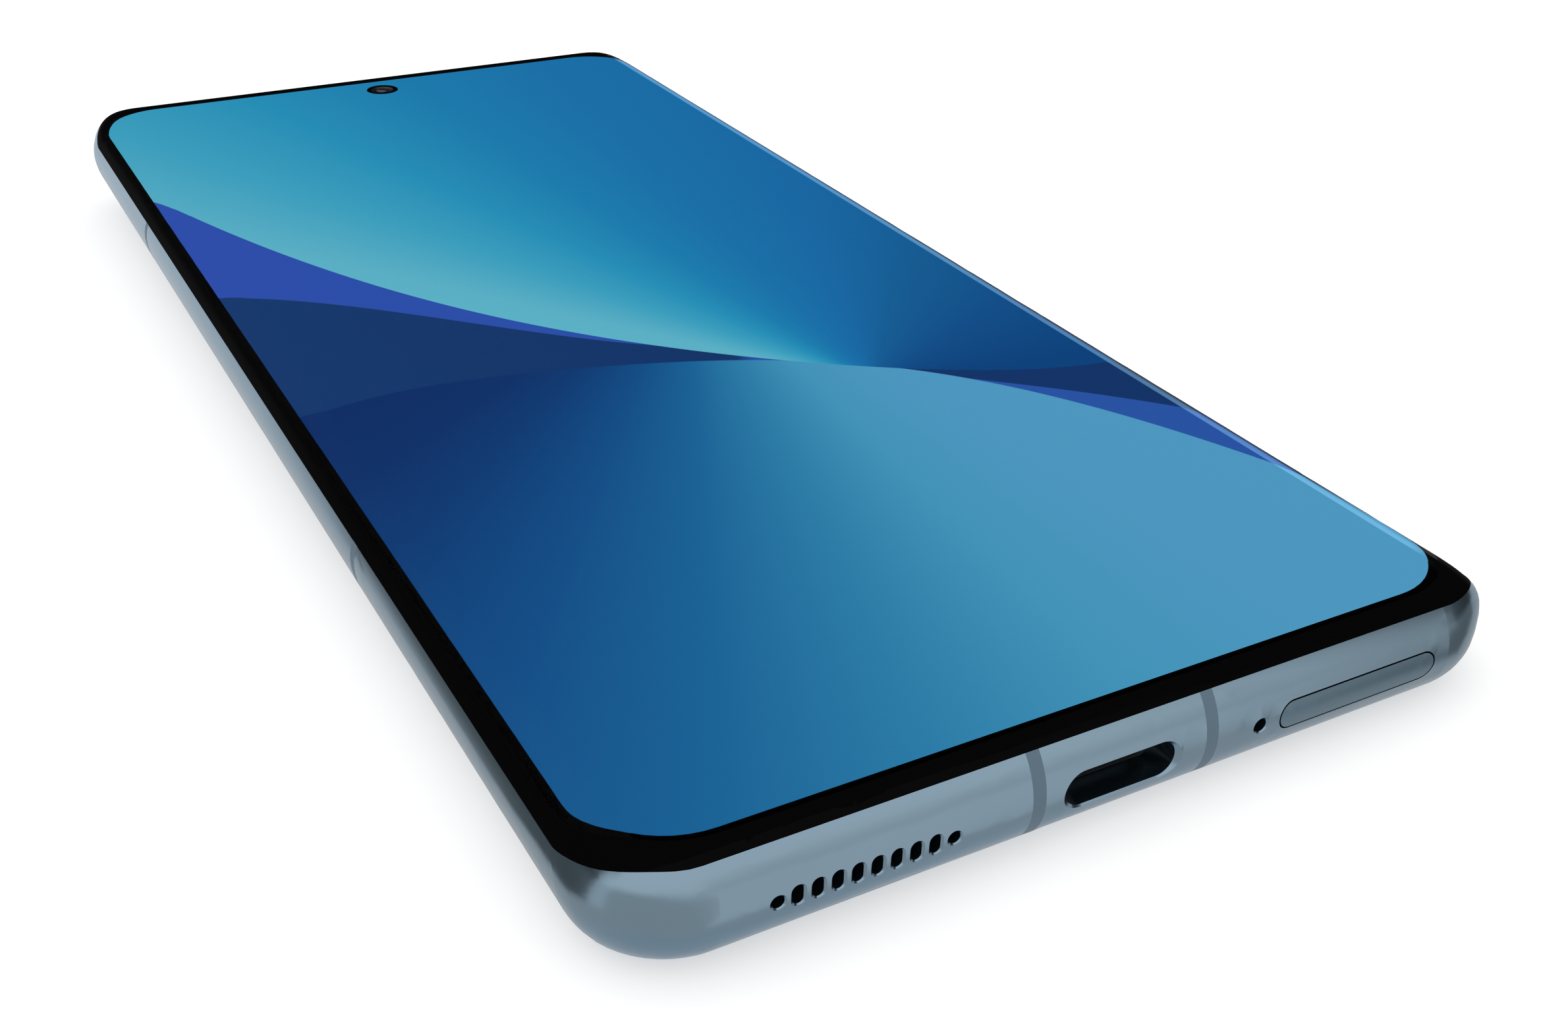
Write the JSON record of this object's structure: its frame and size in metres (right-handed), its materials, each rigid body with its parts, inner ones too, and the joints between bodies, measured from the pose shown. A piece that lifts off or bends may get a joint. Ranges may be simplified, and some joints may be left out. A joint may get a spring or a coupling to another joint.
{
  "type": "smartphone",
  "caption": "Slab smartphone with a curved-edge display, aluminium frame, sliding SIM tray with ejector, side keys and rear camera island; opens to full working internals.",
  "frame": {"origin": "centre of the flat back glass face", "axes": "+Z out of the screen, +Y to the top edge with the front camera, -Y to the edge with the USB-C socket, +X to the side with the power and volume keys"},
  "size_m": [0.075, 0.1636, 0.0105],
  "materials": {
    "frame_aluminium": "satin blue-grey anodised, fine blasted grain",
    "island_aluminium": "satin blue-grey anodised",
    "ring_metal": "polished, anodised blue-grey",
    "tray_metal": "satin blue-grey anodised",
    "band_plastic": "moulded, satin, darker blue-grey",
    "front_glass": "polished clear cover glass",
    "island_glass": "polished, printed black behind",
    "back_glass": "frosted coated glass, satin",
    "border_ink": "printed black ink",
    "display": "lit panel behind the glass, abstract blue gradient",
    "foam_copper": "black foam with foil",
    "tape": "black adhesive tape",
    "copper": "rolled copper",
    "sensor_black": "moulded black",
    "flash_plastic": "clear ribbed lens",
    "led_white": "phosphor yellow lamps on a white board",
    "camera_black": "moulded matte black",
    "lens_black": "coated lens in a black barrel",
    "flex": "coverlay film",
    "card_plastic": "plain card with gold pads",
    "seal_rubber": "silicone",
    "steel": "drawn sheet, dull",
    "tungsten": "sintered heavy metal",
    "connector_black": "moulded black",
    "gold_contact": "plated contact",
    "board": "dark green solder mask",
    "module_black": "moulded matte black",
    "mesh_black": "fine black mesh",
    "battery_foil": "dark grey pouch foil",
    "ferrite": "dark pressed sheet",
    "chip_black": "moulded chip packages",
    "cable_black": "thin coaxial cable"
  },
  "bodies": {
    "root": {"antenna_bands": "band_plastic", "antenna_cable": "cable_black", "back_adhesive": "tape", "back_glass": "back_glass", "battery": "battery_foil", "battery_lead": "flex", "battery_tape": "tape", "board_chips": "chip_black", "board_connectors": "connector_black", "board_cover": "module_black", "board_shields": "steel", "camera_cover_glass": "island_glass", "camera_deco": "island_aluminium", "charging_coil": "copper", "coil_ferrite": "ferrite", "cover_glass": "front_glass", "display_adhesive": "tape", "display_backing": "foam_copper", "display_flex": "flex", "display_mask": "border_ink", "display_panel": "display", "earpiece_mesh": "mesh_black", "earpiece_speaker": "module_black", "fingerprint_sensor": "sensor_black", "flash_led": "led_white", "flash_lens": "flash_plastic", "front_camera": "camera_black", "graphite_sheet": "ferrite", "haptic_housing": "steel", "lens_rings": "ring_metal", "main_board": "board", "main_camera": "camera_black", "main_flex": "flex", "microphones": "steel", "mid_frame": "frame_aluminium", "screws": "steel", "side_key_flex": "flex", "sim_socket": "steel", "speaker_box": "module_black", "speaker_driver": "steel", "speaker_mesh": "mesh_black", "sub_board": "board", "tele_camera": "camera_black", "usb_contacts": "gold_contact", "usb_gasket": "seal_rubber", "usb_receptacle": "steel", "usb_tongue": "connector_black", "vapor_chamber": "copper", "wide_camera": "camera_black"},
    "power_button": {"power_button": "frame_aluminium"},
    "volume_rocker": {"volume_rocker": "frame_aluminium"},
    "eject_pusher": {"eject_pusher": "steel"},
    "eject_lever": {"eject_lever": "steel"},
    "eject_rod": {"eject_rod": "steel"},
    "sim_tray": {"sim_tray": "tray_metal", "sim_card": "card_plastic", "tray_seal": "seal_rubber"},
    "main_lens": {"main_lens_barrel": "lens_black"},
    "tele_lens": {"tele_lens_barrel": "lens_black"},
    "haptic_mass": {"haptic_mass": "tungsten"}
  },
  "joints": [
    {"name": "power_press", "type": "slide", "parent": "root", "child": "power_button", "axis": [-1, 0, 0], "range_m": [0, 0.00025], "stiffness_N_per_m": 6000},
    {"name": "volume_rock", "type": "hinge", "parent": "root", "child": "volume_rocker", "pos_m": [0.0362, 0.0275, 0.00408], "axis": [0, 0, 1], "range_deg": [-1.2, 1.2], "stiffness_Nm_per_rad": 0.86},
    {"name": "ejector_push", "type": "slide", "parent": "root", "child": "eject_pusher", "axis": [0, -1, 0], "range_m": [0, 0.0016]},
    {"name": "lever_turn", "type": "hinge", "parent": "root", "child": "eject_lever", "pos_m": [0.0149, -0.0633, 0.00408], "axis": [0, 0, -1], "range_deg": [0, 24.2]},
    {"name": "rod_push", "type": "slide", "parent": "root", "child": "eject_rod", "axis": [0, 1, 0], "range_m": [0, 0.00128]},
    {"name": "tray_pull", "type": "slide", "parent": "eject_pusher", "child": "sim_tray", "axis": [0, -1, 0], "range_m": [0, 0.017]},
    {"name": "main_focus", "type": "slide", "parent": "root", "child": "main_lens", "axis": [0, 0, -1], "range_m": [-0.0003, 0.0002], "stiffness_N_per_m": 60},
    {"name": "tele_focus", "type": "slide", "parent": "root", "child": "tele_lens", "axis": [0, 0, -1], "range_m": [-0.0003, 0.0002], "stiffness_N_per_m": 40},
    {"name": "haptic_shake", "type": "slide", "parent": "root", "child": "haptic_mass", "axis": [1, 0, 0], "range_m": [-0.0003, 0.0003], "stiffness_N_per_m": 1500}
  ],
  "couplings": [
    {"joint": "lever_turn", "follows": "ejector_push", "rad_per_m": 261.8},
    {"joint": "rod_push", "follows": "ejector_push", "ratio": 0.7857}
  ]
}
